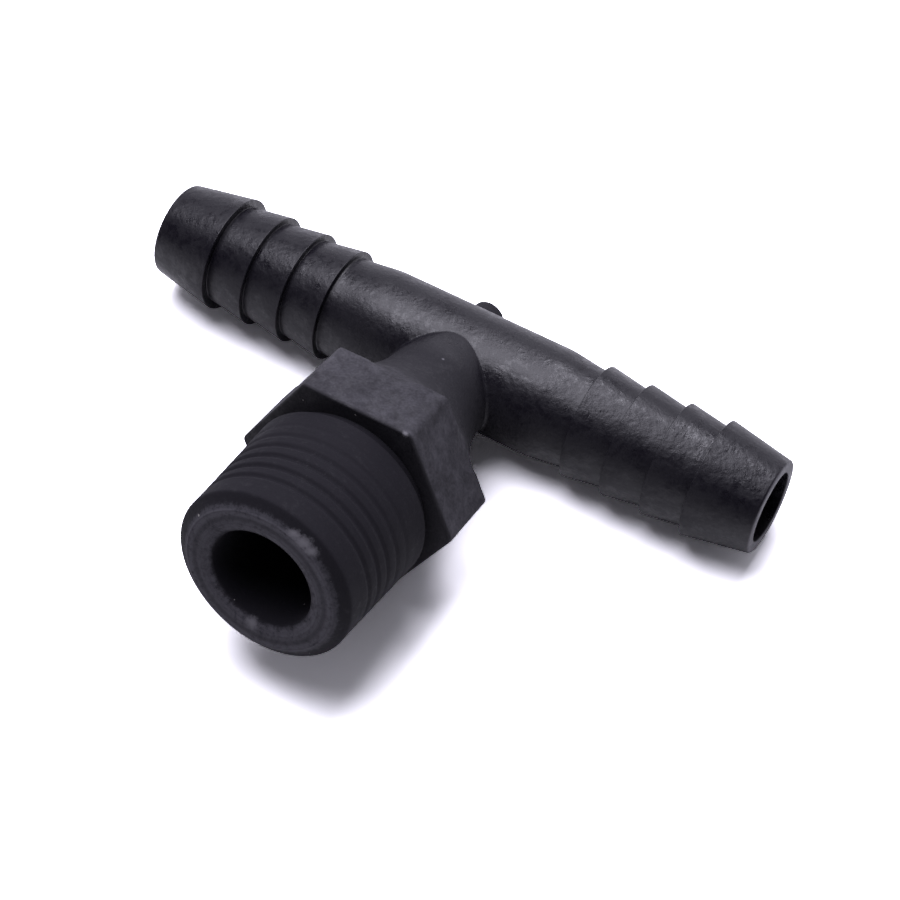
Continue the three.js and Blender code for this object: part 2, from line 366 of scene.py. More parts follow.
class Nodes:
    """Short hand for building a node tree."""

    def __init__(self, tree):
        self.tree = tree
        self.column = 0

    def add(self, kind, inputs=(), **settings):
        node = self.tree.nodes.new(kind)
        node.location = (self.column * 190, 0)
        self.column += 1
        for key, value in settings.items():
            setattr(node, key, value)
        for key, value in dict(inputs).items():
            if isinstance(value, bpy.types.NodeSocket):
                self.tree.links.new(value, node.inputs[key])
            else:
                node.inputs[key].default_value = value
        return node

    def maths(self, operation, first, second=0.0, third=0.0):
        inputs = {0: first, 1: second, 2: third}
        return self.add("ShaderNodeMath", inputs, operation=operation).outputs[0]

    def between(self, mask, off, on):
        """The value off where the mask is 0, on where it is 1, and in between elsewhere."""
        return self.maths("MULTIPLY_ADD", mask, on - off, off)

    def vector(self, operation, first, second=(0, 0, 0)):
        node = self.add("ShaderNodeVectorMath", {0: first, 1: second}, operation=operation)
        return node.outputs["Value" if operation == "LENGTH" else "Vector"]

    def stretch(self, value, low, high):
        """Value as a share of the way from low to high, kept between 0 and 1, with soft ends."""
        inputs = {"Value": value, "From Min": low, "From Max": high}
        return self.add("ShaderNodeMapRange", inputs, interpolation_type="SMOOTHSTEP").outputs[0]

    def noise(self, place, scale, detail=2.0, roughness=0.5, distortion=0.0):
        inputs = {
            "Vector": place,
            "Scale": scale,
            "Detail": detail,
            "Roughness": roughness,
            "Distortion": distortion,
        }
        return self.add("ShaderNodeTexNoise", inputs).outputs[0]

    def mix_colour(self, part, first, second):
        """Mixes two colours by the node's colour sockets, which are 6, 7 and 2."""
        return self.add("ShaderNodeMix", {0: part, 6: first, 7: second}, data_type="RGBA").outputs[2]

    def from_branch_axis(self, place):
        """Distance from the branch's axis."""
        return self.vector("LENGTH", self.vector("MULTIPLY", place, (1, 0, 1)))


def new_group(name, output, vectors=(), **values):
    """A shader group that takes a place, other vectors and values, and gives one value."""
    group = bpy.data.node_groups.new(name, "ShaderNodeTree")
    for label in ("Place", *vectors):
        group.interface.new_socket(label, in_out="INPUT", socket_type="NodeSocketVector")
    for label, default in values.items():
        socket = group.interface.new_socket(label, in_out="INPUT", socket_type="NodeSocketFloat")
        socket.default_value = default
    group.interface.new_socket(output, in_out="OUTPUT", socket_type="NodeSocketFloat")
    nodes = Nodes(group)
    return nodes, nodes.add("NodeGroupInput").outputs


def close_group(nodes, value):
    nodes.add("NodeGroupOutput", {0: value})
    return nodes.tree


def clouds_group():
    """Cloudy patches: large clouds broken up by smaller ones and by a fine grain."""
    nodes, given = new_group("Clouds", "Mask", Size=0.3, Level=0.0, Softness=0.15)
    layers = (
        # fineness, weight, detail, roughness, distortion
        (1, 0.42, 3, 0.6, 0.8),
        (4, 0.4, 3, 0.62, 0.3),
        (16, 0.18, 2, 0.5, 0),
    )
    total = 0.0
    for fineness, weight, detail, roughness, distortion in layers:
        size = nodes.maths("MULTIPLY", given["Size"], fineness)
        layer = nodes.noise(given["Place"], size, detail, roughness, distortion)
        total = nodes.maths("MULTIPLY_ADD", layer, weight, total)
    low = nodes.maths("SUBTRACT", 0.5, given["Level"])
    high = nodes.maths("ADD", low, given["Softness"])
    return close_group(nodes, nodes.stretch(total, low, high))


def spot_group():
    """One ragged spot around a centre, such as a scuff, a chip or a painted glint."""
    nodes, given = new_group("Spot", "Mask", vectors=("Centre", "Stretch"), Radius=1.0)
    offset = nodes.vector("SUBTRACT", given["Place"], given["Centre"])
    distance = nodes.vector("LENGTH", nodes.vector("MULTIPLY", offset, given["Stretch"]))
    ragged = nodes.noise(given["Place"], 3, 3, 0.7)
    reach = nodes.maths("MULTIPLY", given["Radius"], nodes.between(ragged, 0.2, 1.8))
    core = nodes.maths("MULTIPLY", reach, 0.1)
    return close_group(nodes, nodes.maths("SUBTRACT", 1.0, nodes.stretch(distance, core, reach)))


def marks_group():
    """Broad pale rings round the branch's axis, as a worn turned mould leaves on a face."""
    nodes, given = new_group("Turned marks", "Mask")
    across = nodes.add("ShaderNodeCombineXYZ", {0: nodes.from_branch_axis(given["Place"])}).outputs[0]
    return close_group(nodes, nodes.stretch(nodes.noise(across, 1.7, 3, 0.6), 0.35, 0.6))


def rings_group():
    """Height of the fine rings round the branch's axis that a turned mould leaves."""
    nodes, given = new_group("Turned rings", "Height", Fineness=3.0)
    along = nodes.add("ShaderNodeSeparateXYZ", {0: given["Place"]}).outputs["Y"]
    spread = {"X": nodes.from_branch_axis(given["Place"]), "Y": along}
    across = nodes.add("ShaderNodeCombineXYZ", spread).outputs[0]
    return close_group(nodes, nodes.noise(across, given["Fineness"], 3, 0.6))


def grain_group():
    """Height of the moulded surface: slow waves, an orange-peel grain and a fine tooth."""
    nodes, given = new_group("Moulded grain", "Height", Waves=1.0, Peel=0.35, Tooth=0.1)
    total = 0.0
    for label, scale, detail in (("Waves", 0.55, 2), ("Peel", 2.4, 2), ("Tooth", 9, 3)):
        layer = nodes.noise(given["Place"], scale, detail)
        total = nodes.maths("MULTIPLY_ADD", layer, given[label], total)
    return close_group(nodes, total)


def specks_group():
    """Tiny specks of dust and chips, few and scattered."""
    nodes, given = new_group("Specks", "Mask", Scale=1.2, Radius=0.1, Keep=0.2)
    cells = nodes.add("ShaderNodeTexVoronoi", {"Vector": given["Place"], "Scale": given["Scale"]})
    choice, size, brightness = nodes.add("ShaderNodeSeparateColor", {0: cells.outputs["Color"]}).outputs
    reach = nodes.maths("MULTIPLY", given["Radius"], nodes.between(size, 0.4, 1.2))
    near = nodes.maths("LESS_THAN", cells.outputs["Distance"], reach)
    chosen = nodes.maths("LESS_THAN", choice, given["Keep"])
    bright = nodes.between(brightness, 0.3, 1.0)
    return close_group(nodes, nodes.maths("MULTIPLY", nodes.maths("MULTIPLY", near, chosen), bright))


GROUP_MAKERS = {
    "Clouds": clouds_group,
    "Spot": spot_group,
    "Turned marks": marks_group,
    "Moulded grain": grain_group,
    "Specks": specks_group,
    "Turned rings": rings_group,
}


def shared_group(name):
    return bpy.data.node_groups.get(name) or GROUP_MAKERS[name]()


def own_place(nodes):
    """Place on the fitting in its own frame, in millimetres."""
    stand_up = LAID.inverted()
    inputs = {
        "Vector": nodes.add("ShaderNodeTexCoord").outputs["Object"],
        "Location": stand_up.translation / MM,
        "Rotation": stand_up.to_euler(),
        "Scale": Vector((1, 1, 1)) / MM,
    }
    return nodes.add("ShaderNodeMapping", inputs, vector_type="POINT").outputs[0]


class Plastic:
    """The black moulded plastic. Its sizes are in millimetres or, as scales, per millimetre."""

    CHALK_ROUGHNESS = 0.12  # how much rougher the pale mask makes the plastic

    def __init__(self, name, ior=1.5):
        self.ior = ior
        self.material = bpy.data.materials.new(name)
        self.material.use_nodes = True
        self.material.node_tree.nodes.clear()
        self.nodes = Nodes(self.material.node_tree)
        self.place = own_place(self.nodes)

    def group(self, name, **inputs):
        inputs = {"Place": self.place, **inputs}
        return self.nodes.add("ShaderNodeGroup", inputs, node_tree=shared_group(name)).outputs[0]

    def past(self, distance, edge, fade):
        """0 before an edge and 1 past it, given the edge in metres and where the change lies."""
        return self.nodes.stretch(distance, edge / MM + fade[0], edge / MM + fade[1])

    def parts(self):
        return self.nodes.add("ShaderNodeSeparateXYZ", {0: self.place}).outputs

    def finish(self, pale_mask, sheen, height, relief, glossy, dull, specks, scuffs_and_glints=()):
        """Joins the masks up to the shader: the pale mask lightens the plastic and sheen polishes it.
        The pale mask is chalk, and on the body it also holds a painted reflection on the run's ends.
        """
        colours = bpy.context.scene.finish
        nodes = self.nodes
        base = nodes.mix_colour(pale_mask, (*colours.dark, 1), (*colours.pale, 1))
        dust = self.group("Specks", Scale=0.8, Radius=0.075, Keep=specks)
        base = nodes.mix_colour(dust, base, (*colours.speck, 1))
        # Scuffs, painted glints and painted highlights, in the scuff colour.
        for centre, radius, stretch in scuffs_and_glints:
            spot = self.group("Spot", Centre=centre, Radius=radius, Stretch=stretch)
            base = nodes.mix_colour(spot, base, (*colours.scuff_and_glint, 1))
        rough = nodes.between(sheen, dull, glossy)
        rough = nodes.maths("MULTIPLY_ADD", pale_mask, self.CHALK_ROUGHNESS, rough)
        bump = nodes.add("ShaderNodeBump", {"Distance": relief * MM, "Height": height})
        inputs = {"Base Color": base, "Roughness": rough, "Normal": bump.outputs[0], "IOR": self.ior}
        shader = nodes.add("ShaderNodeBsdfPrincipled", inputs)
        nodes.add("ShaderNodeOutputMaterial", {"Surface": shader.outputs[0]})
        return self.material


# Where one finish gives way to the next, in millimetres from the edge that is named.
NECK_FADE = (-1.5, 1.5)  # the side of the run
HEX_FADE = (-5.5, 0.5)  # the back of the hex
SHADED_FRONT_FADE = (-0.4, -0.1)  # the front of the hex, kept dark as painted shade
END_REFLECTION_FADE = (-0.12, -0.02)  # the ends of the run, whose end faces get a painted reflection
FACE_FADE = (-0.6, -0.1)  # the end face of the spigot

# Each scuff and painted glint is its centre on the fitting and its radius, in millimetres, and its
# squeeze along each axis.
BODY_SCUFFS_AND_GLINT = (
    ((4.66, -20.4, 8.95), 0.4, (1, 1, 1)),  # a corner of the hex
    ((0.66, -6.24, 5.1), 0.18, (1, 1, 1)),  # a painted glint at the root of the neck
)
SPIGOT_SCUFFS_AND_HIGHLIGHT = (
    # scuffs in a row along the upper rim of the end face, and a painted highlight below the mouth
    ((2.6, -33.8, 6.85), 0.7, (0.8, 1, 1.2)),
    ((3.5, -33.75, 6.4), 0.9, (0.8, 1, 1.2)),
    ((4.3, -33.7, 5.9), 0.7, (0.8, 1, 1.2)),
    # a painted highlight on the mouth's chamfer
    ((-0.3, -33.8, -5.2), 0.8, (1, 1, 1)),
)


def body_plastic():
    """Satin with patchy sheen on the run, duller on the neck and chalky on the flats of the hex, with a
    painted reflection on the run's end faces and painted shade on the hex's front face.
    """
    if "Body plastic" in bpy.data.materials:
        return bpy.data.materials["Body plastic"]
    plastic = Plastic("Body plastic")
    nodes = plastic.nodes
    parts = plastic.parts()
    along = nodes.maths("MULTIPLY", parts["Y"], -1.0)
    on_neck = plastic.past(along, RUN_RADIUS, NECK_FADE)
    on_hex = plastic.past(along, HEX.start, HEX_FADE)
    shaded_front = plastic.past(along, HEX.end, SHADED_FRONT_FADE)
    # Painted reflection: the run's end faces are made pale, as if the bright floor lit them.
    end_reflection = plastic.past(nodes.maths("ABSOLUTE", parts["X"]), RUN_END, END_REFLECTION_FADE)
    level = nodes.between(on_hex, -0.12, 0.25)
    pale_mask = plastic.group("Clouds", Size=0.3, Level=level, Softness=0.6)
    pale_mask = nodes.maths("MULTIPLY", pale_mask, nodes.between(on_hex, 0.15, 1.0))
    # Painted shade: no chalk on the hex's front face, so it stays dark as if in the shade of the
    # thread.
    pale_mask = nodes.maths("MULTIPLY", pale_mask, nodes.maths("SUBTRACT", 1.0, shaded_front))
    # Adds the painted reflection on the run's end faces to the pale mask.
    pale_mask = nodes.maths("MAXIMUM", pale_mask, end_reflection)
    sheen = plastic.group("Clouds", Size=0.35, Level=0.04, Softness=0.16)
    sheen = nodes.maths("MULTIPLY_ADD", on_neck, -2.2, sheen)
    height = plastic.group("Moulded grain", Waves=1.0, Peel=0.4, Tooth=0.14)
    return plastic.finish(
        pale_mask, sheen, height, relief=0.08, glossy=0.25, dull=0.42, specks=0.06, scuffs_and_glints=BODY_SCUFFS_AND_GLINT
    )


def spigot_plastic():
    """Dull and dark, with fine rings from the turned mould and a chalky end face."""
    if "Spigot plastic" in bpy.data.materials:
        return bpy.data.materials["Spigot plastic"]
    plastic = Plastic("Spigot plastic", ior=1.4)
    nodes = plastic.nodes
    along = nodes.maths("MULTIPLY", plastic.parts()["Y"], -1.0)
    on_face = plastic.past(along, NOSE.end, FACE_FADE)
    level = nodes.between(on_face, -0.04, 0.24)
    pale_mask = plastic.group("Clouds", Size=0.9, Level=level, Softness=0.3)
    marks = nodes.maths("MULTIPLY", plastic.group("Turned marks"), on_face)
    strength = nodes.between(on_face, 0.16, 0.46)
    strength = nodes.maths("MULTIPLY_ADD", marks, 0.6, strength)
    pale_mask = nodes.maths("MULTIPLY", pale_mask, strength)
    sheen = plastic.group("Clouds", Size=0.6, Level=0.0, Softness=0.25)
    grain = plastic.group("Moulded grain", Waves=0.3, Peel=0.4, Tooth=0.25)
    rings = plastic.group("Turned rings", Fineness=2.6)
    height = nodes.maths("MULTIPLY_ADD", rings, 0.6, grain)
    return plastic.finish(
        pale_mask, sheen, height, relief=0.05, glossy=0.6, dull=0.85, specks=0.15, scuffs_and_glints=SPIGOT_SCUFFS_AND_HIGHLIGHT
    )


def gate_plastic():
    """Matt and dark where the runner broke off."""
    if "Gate plastic" in bpy.data.materials:
        return bpy.data.materials["Gate plastic"]
    plastic = Plastic("Gate plastic")
    pale_mask = plastic.group("Clouds", Size=0.9, Level=-0.1, Softness=0.3)
    sheen = plastic.group("Clouds", Size=0.5, Level=0.0, Softness=0.25)
    height = plastic.group("Moulded grain", Waves=0.4, Peel=1.0, Tooth=0.5)
    return plastic.finish(pale_mask, sheen, height, relief=0.1, glossy=0.6, dull=0.8, specks=0.0)


# ------------------------------------------------------------
# The run
# ------------------------------------------------------------


def barb_profile(number, sizes):
    """Closed outline of one barb's ring; number 1 is at the tip."""
    section = Section(f"right_barb_{number}", on_run=True)
    crest = section.widest
    foot = section.outer(section.end)
    back = (section.start, crest, sizes.crest_rounding)
    inner_end = (section.end, section.bore, 0)
    inner_start = (section.start, section.bore, 0)
    if number == 1:
        edge = sorted(section.rings)[-2]
        front = [
            (section.end, section.outer(edge), sizes.tip_rounding),
            (section.end, section.bore, sizes.mouth_rounding),
        ]
        return rounded([back, *front, inner_start])
    fillet = sizes.foot_rounding
    front = [(section.end - fillet, foot, fillet), (section.end, foot + fillet, 0)]
    return rounded([back, *front, inner_end, inner_start])


class FITTING_OT_hose_barbs(bpy.types.Operator):
    """Add the four barbs of each hose end"""

    bl_idname = "fitting.hose_barbs"
    bl_label = "Hose barbs"

    def execute(self, context):
        sizes = context.scene.run_sizes
        turns = full_turn(sizes.steps_round)
        for side_name, side in (("right", 1), ("left", -1)):
            for number in range(1, BARBS_PER_END + 1):
                mesh = bmesh.new()
                grid = revolved(barb_profile(number, sizes), place_on_run, turns, side)
                add_grid(mesh, grid, close_rows=True)
                node = f"{side_name}_barb_{number}"
                finish_piece(mesh, f"{node}_moulding", [node], body_plastic())
        return {"FINISHED"}


class FITTING_OT_shanks(bpy.types.Operator):
    """Add the tapering shank between the middle of the run and each set of barbs"""

    bl_idname = "fitting.shanks"
    bl_label = "Shanks"

    CURVE_STEPS = 24

    def execute(self, context):
        sizes = context.scene.run_sizes
        start, end = SHANK.start, SHANK.end
        foot = SHANK.outer(end)
        fillet = sizes.foot_rounding
        profile = []
        for step in range(self.CURVE_STEPS + 1):
            along = start + (end - fillet - start) * step / self.CURVE_STEPS
            fall = soft_step((along - start) / (end - start))
            profile.append((along, RUN_RADIUS + (foot - RUN_RADIUS) * fall, 0))
        profile.append((end, foot + fillet, 0))
        profile.append((end, SHANK.bore, 0))
        profile.append((start, SHANK.bore, 0))
        for side_name, side in (("right", 1), ("left", -1)):
            mesh = bmesh.new()
            grid = revolved(rounded(profile), place_on_run, full_turn(sizes.steps_round), side)
            add_grid(mesh, grid, close_rows=True)
            finish_piece(mesh, f"{side_name}_shank_moulding", [f"{side_name}_shank"], body_plastic())
        return {"FINISHED"}


class Saddle:
    """The skin of a tube with a side branch, as a grid that opens out from the branch's crease.

    Columns go round the branch. Rows go from the tube's ends and back seam, over the tube to the
    crease, through its fillet and along the branch.
    """

    TUBE_ROWS = 28
    FILLET_ROWS = 6
    BRANCH_ROWS = 10
    EASE = 1.4  # above 1, the rows on the tube lie closer together towards the crease
    HALVINGS = 60  # steps that close in on the crease

    def __init__(self, tube, half_length, branch_root, branch_end_radius, branch_end, fillet, columns):
        self.tube = tube
        self.half_length = half_length
        self.branch_end = branch_end
        self.slope = (branch_end_radius - branch_root) / branch_end
        self.root = branch_root
        self.fillet = fillet
        self.turns = np.array(full_turn(columns))
        self.turns[-1] = 0

    def radius(self, along):
        return self.root + self.slope * along

    def crease(self):
        """The fillet's place along the branch, its contact there and its centre, per column."""
        lean = math.atan(self.slope)
        back = self.fillet * math.sin(lean)
        out = self.fillet * math.cos(lean)
        low = np.zeros_like(self.turns)
        high = np.full_like(self.turns, self.branch_end)
        for _ in range(self.HALVINGS):
            middle = (low + high) / 2
            across = (self.radius(middle) + out) * np.sin(self.turns)
            outside = np.hypot(middle - back, across) > self.tube + self.fillet
            high = np.where(outside, middle, high)
            low = np.where(outside, low, middle)
        contact = self.on_branch(low, self.radius(low))
        centre = self.on_branch(low - back, self.radius(low) + out)
        return low, contact, centre

    def on_branch(self, along, radius):
        return np.stack([radius * np.cos(self.turns), -along, radius * np.sin(self.turns)], axis=1)

    def rim(self):
        """Where each column starts: x, turn round the tube, and whether on an end circle.

        The columns that don't start on an end circle start on the seam at the back.
        """
        eighths = (self.turns / (math.pi / 4) + 4) % 8 - 4  # -4 to 4, 0 towards +X
        size = np.abs(eighths)
        side = np.sign(eighths)
        near_right = size <= 1
        near_left = size >= 3
        x = np.where(near_right, 1, np.where(near_left, -1, 2 - size)) * self.half_length
        turn = np.where(near_right, eighths, np.where(near_left, side * (4 - size), side))
        return x, turn * math.pi, near_right | near_left

    def grid(self):
        along, contact, centre = self.crease()
        shrink = self.tube / (self.tube + self.fillet)
        foot = centre * np.array([1, shrink, shrink])
        foot_turn = np.arctan2(foot[:, 2], -foot[:, 1])
        rim_x, rim_turn, _ = self.rim()
        rows = []
        for row in range(self.TUBE_ROWS):
            part = 1 - (1 - row / self.TUBE_ROWS) ** self.EASE
            x = rim_x + (foot[:, 0] - rim_x) * part
            turn = rim_turn + (foot_turn - rim_turn) * part
            rows.append(np.stack([x, -self.tube * np.cos(turn), self.tube * np.sin(turn)], axis=1))
        rows.append(foot)
        for row in range(1, self.FILLET_ROWS):
            part = row / self.FILLET_ROWS
            blend = (foot - centre) * (1 - part) + (contact - centre) * part
            reach = np.linalg.norm(blend, axis=1, keepdims=True)
            rows.append(centre + blend / np.maximum(reach, WELD) * self.fillet)
        for row in range(self.BRANCH_ROWS + 1):
            place = along + (self.branch_end - along) * row / self.BRANCH_ROWS
            rows.append(self.on_branch(place, self.radius(place)))
        return rows


class FITTING_OT_tee_junction(bpy.types.Operator):
    """Add the middle of the run, with the root of the neck and the two passages inside"""

    bl_idname = "fitting.tee_junction"
    bl_label = "Tee junction"

    COLUMNS = 192
    NECK_TAPER = 0.6 * MM  # how much the neck widens from the run's axis to the end of this piece

    def execute(self, context):
        sizes = context.scene.run_sizes
        neck = NECK.outer(NECK.start)
        throat = NECK.inner(NECK.start)
        skin = Saddle(
            RUN_RADIUS,
            JUNCTION.end,
            neck - self.NECK_TAPER,
            neck,
            NECK.start,
            sizes.crease_rounding,
            self.COLUMNS,
        )
        passages = Saddle(SHANK.bore, JUNCTION.end, throat, throat, NECK.start, WELD, self.COLUMNS)
        mesh = bmesh.new()
        outer, inner = skin.grid(), passages.grid()
        end_reflection = skin.rim()[2]
        add_grid(mesh, outer)
        add_grid(mesh, inner)
        add_grid(mesh, [outer[-1], inner[-1]])
        add_grid(mesh, [outer[0], inner[0]], keep=end_reflection[:-1] & end_reflection[1:])
        finish_piece(mesh, "tee_junction_moulding", ["tee_junction"], body_plastic())
        return {"FINISHED"}


class FITTING_OT_gate_stub(bpy.types.Operator):
    """Add the stub at the back of the run where the moulding was cut from its runner"""

    bl_idname = "fitting.gate_stub"
    bl_label = "Gate stub"

    ROOT_FILLET = 0.35 * MM
    END_ROUNDING = 0.25 * MM
    DISH = 0.12 * MM  # hollow in the middle of the cut end
    BURIED = 0.9 * MM  # how far it reaches into the run's wall
    STEPS = 48

    def execute(self, context):
        radius = GATE.widest
        wide = radius + self.ROOT_FILLET
        profile = rounded(
            [
                (self.BURIED - RUN_RADIUS, 0, 0),
                (self.BURIED - RUN_RADIUS, wide, 0),
                (GATE.end + self.ROOT_FILLET / 2, wide, 0),
                (GATE.end - self.ROOT_FILLET, radius, self.ROOT_FILLET),
                (GATE.start, radius, self.END_ROUNDING),
                (GATE.start + self.DISH, 0, 0),
            ]
        )
        grid = revolved(profile, place_on_branch, full_turn(self.STEPS))
        shifted = [[(x + GATE_OFFSET, y, z) for x, y, z in row] for row in grid]
        mesh = bmesh.new()
        add_grid(mesh, shifted)
        finish_piece(mesh, "gate_stub_moulding", ["gate_stub"], gate_plastic())
        return {"FINISHED"}


# ------------------------------------------------------------
# The branch
# ------------------------------------------------------------


FLAT_STEPS = 20
CORNER_STEPS = 4


def hex_turns(rounding):
    """Angles round the branch, close together at the six corners, and the hex's radius at each."""
    middle = (HEX_APOTHEM - rounding) / math.cos(HALF_FLAT)
    tangent = math.atan2(rounding * math.sin(HALF_FLAT), middle + rounding * math.cos(HALF_FLAT))
    flat = [(HALF_FLAT - tangent) * step / FLAT_STEPS for step in range(FLAT_STEPS)]
    corner = [HALF_FLAT - tangent * (1 - step / CORNER_STEPS) for step in range(CORNER_STEPS)]
    sector = [-turn for turn in reversed((flat + corner + [HALF_FLAT])[1:])] + flat + corner
    turns = [(side + 0.5) * math.pi / 3 + turn for side in range(6) for turn in sector]
    turns.append(turns[0] + math.tau)
    radii = []
    for turn in turns:
        from_middle = abs(turn % (2 * HALF_FLAT) - HALF_FLAT)
        from_corner = HALF_FLAT - from_middle
        if from_corner < tangent:
            lift = rounding**2 - (middle * math.sin(from_corner)) ** 2
            radii.append(middle * math.cos(from_corner) + math.sqrt(lift))
        else:
            radii.append(HEX_APOTHEM / math.cos(from_middle))
    return turns, radii


class FITTING_OT_neck_and_hex(bpy.types.Operator):
    """Add the neck, which flares into the wrench hex, with the throat inside"""

    bl_idname = "fitting.neck_and_hex"
    bl_label = "Neck and hex"

    FLARE_STEPS = 18
    BLEND_STEPS = 10

    def execute(self, context):
        sizes = context.scene.branch_sizes
        turns, radii = hex_turns(sizes.hex_corner)
        columns = [self.column(radius, sizes) for radius in radii]
        grid = [
            [place_on_branch(*column[row], turn) for column, turn in zip(columns, turns)]
            for row in range(len(columns[0]))
        ]
        mesh = bmesh.new()
        add_grid(mesh, grid, close_rows=True)
        finish_piece(mesh, "neck_and_hex_moulding", ["branch_neck", "wrench_hex"], body_plastic())
        return {"FINISHED"}

    def flare(self, along, sizes):
        """Radius and slope of the flare."""
        low, high = NECK.outer(NECK.start), NECK.outer(NECK.end)
        span = NECK.end - NECK.start
        part = (along - NECK.start) / span
        slope = (high - low) * sizes.flare_shape * part ** (sizes.flare_shape - 1) / span
        return low + (high - low) * part**sizes.flare_shape, slope

    def column(self, hex_radius, sizes):
        """Closed outline of the neck and hex in the plane where the hex reaches hex_radius."""
        soft = 1 - soft_step((hex_radius - HEX_APOTHEM) / sizes.hex_blend_rise)
        flare_end = HEX.start - sizes.hex_blend * soft
        radius, slope = self.flare(flare_end, sizes)
        first = (flare_end, radius)
        crisp_corner = (HEX.start, hex_radius)
        soft_corner = (flare_end + (hex_radius - radius) / slope, hex_radius)
        corner = mixed(crisp_corner, soft_corner, soft)
        last = (HEX.start + sizes.hex_edge + (sizes.hex_blend - sizes.hex_edge) * soft, hex_radius)
        outline = []
        for step in range(self.FLARE_STEPS):
            along = NECK.start + (flare_end - NECK.start) * step / self.FLARE_STEPS
            outline.append((along, self.flare(along, sizes)[0]))
        for step in range(self.BLEND_STEPS + 1):
            part = step / self.BLEND_STEPS
            outline.append(mixed(mixed(first, corner, part), mixed(corner, last, part), part))
        cone_end = sorted(HEX.rings)[1]
        front = [
            (HEX.start, hex_radius, 0),
            (HEX.end, hex_radius, sizes.hex_edge),
            (HEX.end, RELIEF.bore, 0),
            (cone_end, RELIEF.bore, 0),
            (HEX.start, NECK.bore, 0),
            (NECK.start, NECK.bore, 0),
        ]
        return outline + rounded(front)[1:]


class FITTING_OT_spigot(bpy.types.Operator):
    """Add the threaded spigot: relief groove, taper thread, nose and mouth"""

    bl_idname = "fitting.spigot"
    bl_label = "Threaded spigot"

    COLUMNS = 192
    FIRST_ROOT = 0.075  # share of the pitch from the thread's start to the first root, at +X

    def execute(self, context):
        sizes = context.scene.branch_sizes
        thread = context.scene.thread_sizes
        turns = full_turn(self.COLUMNS)
        nose_edge = sorted(NOSE.rings)[1]
        mouth_edge = sorted(NOSE.rings)[2]
        relief = rounded(
            [
                (RELIEF.start, RELIEF.bore, 0),
                (RELIEF.start, RELIEF.widest, sizes.groove_fillet),
                (RELIEF.end, RELIEF.widest, sizes.groove_fillet),
                (RELIEF.end, THREAD.outer(THREAD.start), sizes.shoulder_rounding),
                (THREAD.end, THREAD.outer(THREAD.end), 0),
            ]
        )[:-1]
        nose = rounded(
            [
                (THREAD.start, THREAD.outer(THREAD.start), 0),
                (nose_edge, NOSE.widest, sizes.nose_rounding),
                (NOSE.end, NOSE.outer(NOSE.end), sizes.face_rounding),
                (NOSE.end, NOSE.inner(NOSE.end), sizes.mouth_rounding),
                (mouth_edge, NOSE.bore, sizes.mouth_rounding),
                (RELIEF.start, NOSE.bore, 0),
            ]
        )[1:]
        thread_start = relief[-1][0]
        grid = revolved(relief, place_on_branch, turns)
        grid += self.thread_rows(thread_start, THREAD.end, thread, turns)
        grid += revolved(nose, place_on_branch, turns)
        mesh = bmesh.new()
        add_grid(mesh, grid, close_rows=True)
        nodes = ["thread_relief", "threaded_spigot", "spigot_nose"]
        finish_piece(mesh, "threaded_spigot_moulding", nodes, spigot_plastic())
        return {"FINISHED"}

    @staticmethod
    def crest(along):
        start, end = THREAD.start, THREAD.end
        part = (along - start) / (end - start)
        return THREAD.outer(start) + (THREAD.outer(end) - THREAD.outer(start)) * part

    def thread_rows(self, start, end, thread, turns):
        """Rows that follow the helix and stop dead at the ends of the threaded length."""
        threads = math.ceil((end - start) / thread.pitch) + 1
        rows = []
        for row in range(threads * thread.rows_per_turn + 1):
            points = []
            for turn in turns:
                helix = row / thread.rows_per_turn + turn / math.tau - 1
                along = min(end, max(start, start + helix * thread.pitch))
                groove = self.groove(along, turn, thread) * thread.depth
                points.append(place_on_branch(along, self.crest(along) - groove, turn))
            rows.append(points)
        return rows

    def groove(self, along, turn, thread):
        """Depth of the groove as a share of its full depth."""
        phase = ((along - THREAD.start) / thread.pitch - turn / math.tau - self.FIRST_ROOT) % 1
        to_crest = 1 - abs(2 * phase - 1)  # 0 in the root, 1 on the crest
        flank = 1 - thread.root_flat - thread.crest_flat
        part = min(1.0, max(0.0, (to_crest - thread.root_flat) / flank))
        flank_part = (part + soft_step(part)) / 2  # halfway between straight and rounded
        from_hex = soft_step((along - THREAD.start) / thread.run_out)
        from_nose = soft_step((THREAD.end - along) / thread.run_in)
        worn = 1 - thread.wear * (0.5 + 0.5 * math.cos(turn))  # most on the right
        return (1 - flank_part) * from_hex * from_nose * worn


# ------------------------------------------------------------
# The stage
# ------------------------------------------------------------


PANEL_DISTANCE = 0.5  # from the middle of the fitting, in metres


def add_panel(name, direction, size, power, turn, tint):
    """A soft panel of light in the given direction from the fitting, turned about that line."""
    light = bpy.data.lights.new(name, "AREA")
    light.shape = "RECTANGLE"
    light.size, light.size_y = size
    light.energy = power
    light.color = tint
    lamp = bpy.data.objects.new(name, light)
    towards = Vector(direction).normalized()
    lamp.location = (CAD_BOX[0] + CAD_BOX[1]) / 2 + towards * PANEL_DISTANCE
    lamp.rotation_mode = "QUATERNION"
    lamp.rotation_quaternion = towards.to_track_quat("Z", "Y") @ Quaternion((0, 0, 1), turn)
    bpy.context.scene.collection.objects.link(lamp)


